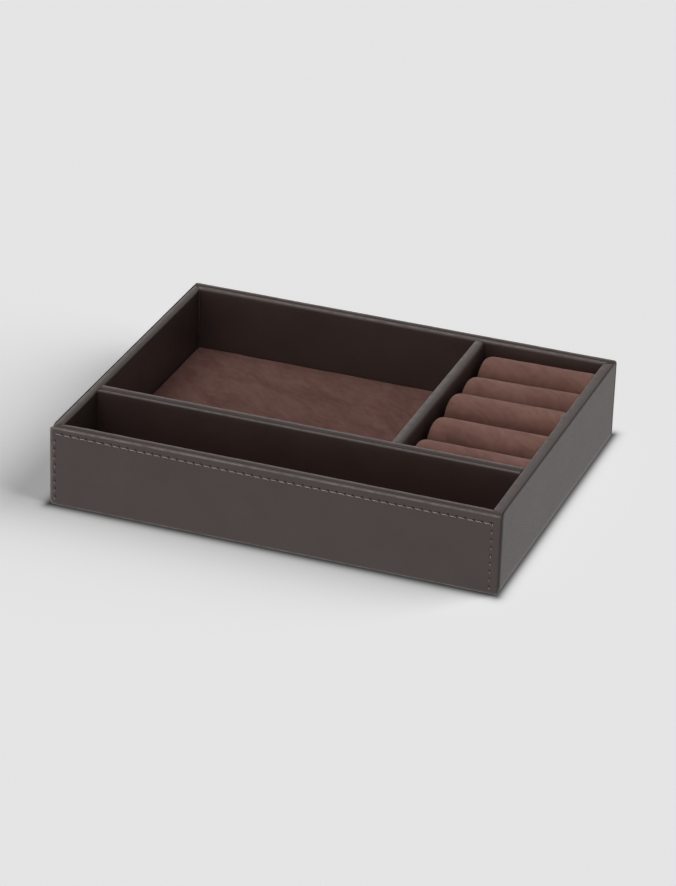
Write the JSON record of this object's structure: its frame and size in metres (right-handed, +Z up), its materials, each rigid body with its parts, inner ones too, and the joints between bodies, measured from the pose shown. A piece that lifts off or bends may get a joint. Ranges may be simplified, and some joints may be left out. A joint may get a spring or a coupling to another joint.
{
  "type": "jewelry tray",
  "caption": "Open rectangular jewelry tray covered in leather, with a long front trough, a large suede-lined compartment and a bay of soft suede rolls that hold rings.",
  "frame": {"origin": "centre of the underside, on the surface that the tray stands on", "axes": "+X to the right along the long side, with the ring rolls at +X; +Y from the front trough towards the back wall; +Z up"},
  "size_m": [0.28, 0.226, 0.051],
  "materials": {
    "leather": "dark taupe-brown smooth leatherette with a fine grain and a soft sheen",
    "suede": "dusty brown microfibre suede with a short soft nap",
    "board": "dense grey board, hidden under the leather or suede",
    "dark_card": "dark brown card under the ring rolls",
    "foam": "soft cream foam, hidden under the suede",
    "base_cloth": "thin matt dark cloth glued under the base"
  },
  "bodies": {
    "root": {"base_cover": "base_cloth", "base_board": "board", "front_wall_leather": "leather", "front_wall_board": "board", "right_wall_leather": "leather", "right_wall_board": "board", "back_wall_leather": "leather", "back_wall_board": "board", "left_wall_leather": "leather", "left_wall_board": "board", "front_panel_leather": "leather", "front_panel_card": "board", "back_panel_leather": "leather", "back_panel_card": "board", "left_side_leather": "leather", "right_side_leather": "leather", "long_divider_front_leather": "leather", "long_divider_front_board": "board", "long_divider_rear_leather": "leather", "long_divider_rear_board": "board", "short_divider_leather": "leather", "short_divider_board": "board", "trough_pad_suede": "suede", "trough_pad_board": "board", "main_pad_suede": "suede", "main_pad_board": "board", "ring_bed_card": "dark_card", "ring_roll_suede_1": "suede", "ring_roll_suede_2": "suede", "ring_roll_suede_3": "suede", "ring_roll_suede_4": "suede", "ring_roll_suede_5": "suede", "ring_roll_core_1": "foam", "ring_roll_core_2": "foam", "ring_roll_core_3": "foam", "ring_roll_core_4": "foam", "ring_roll_core_5": "foam"}
  },
  "joints": []
}
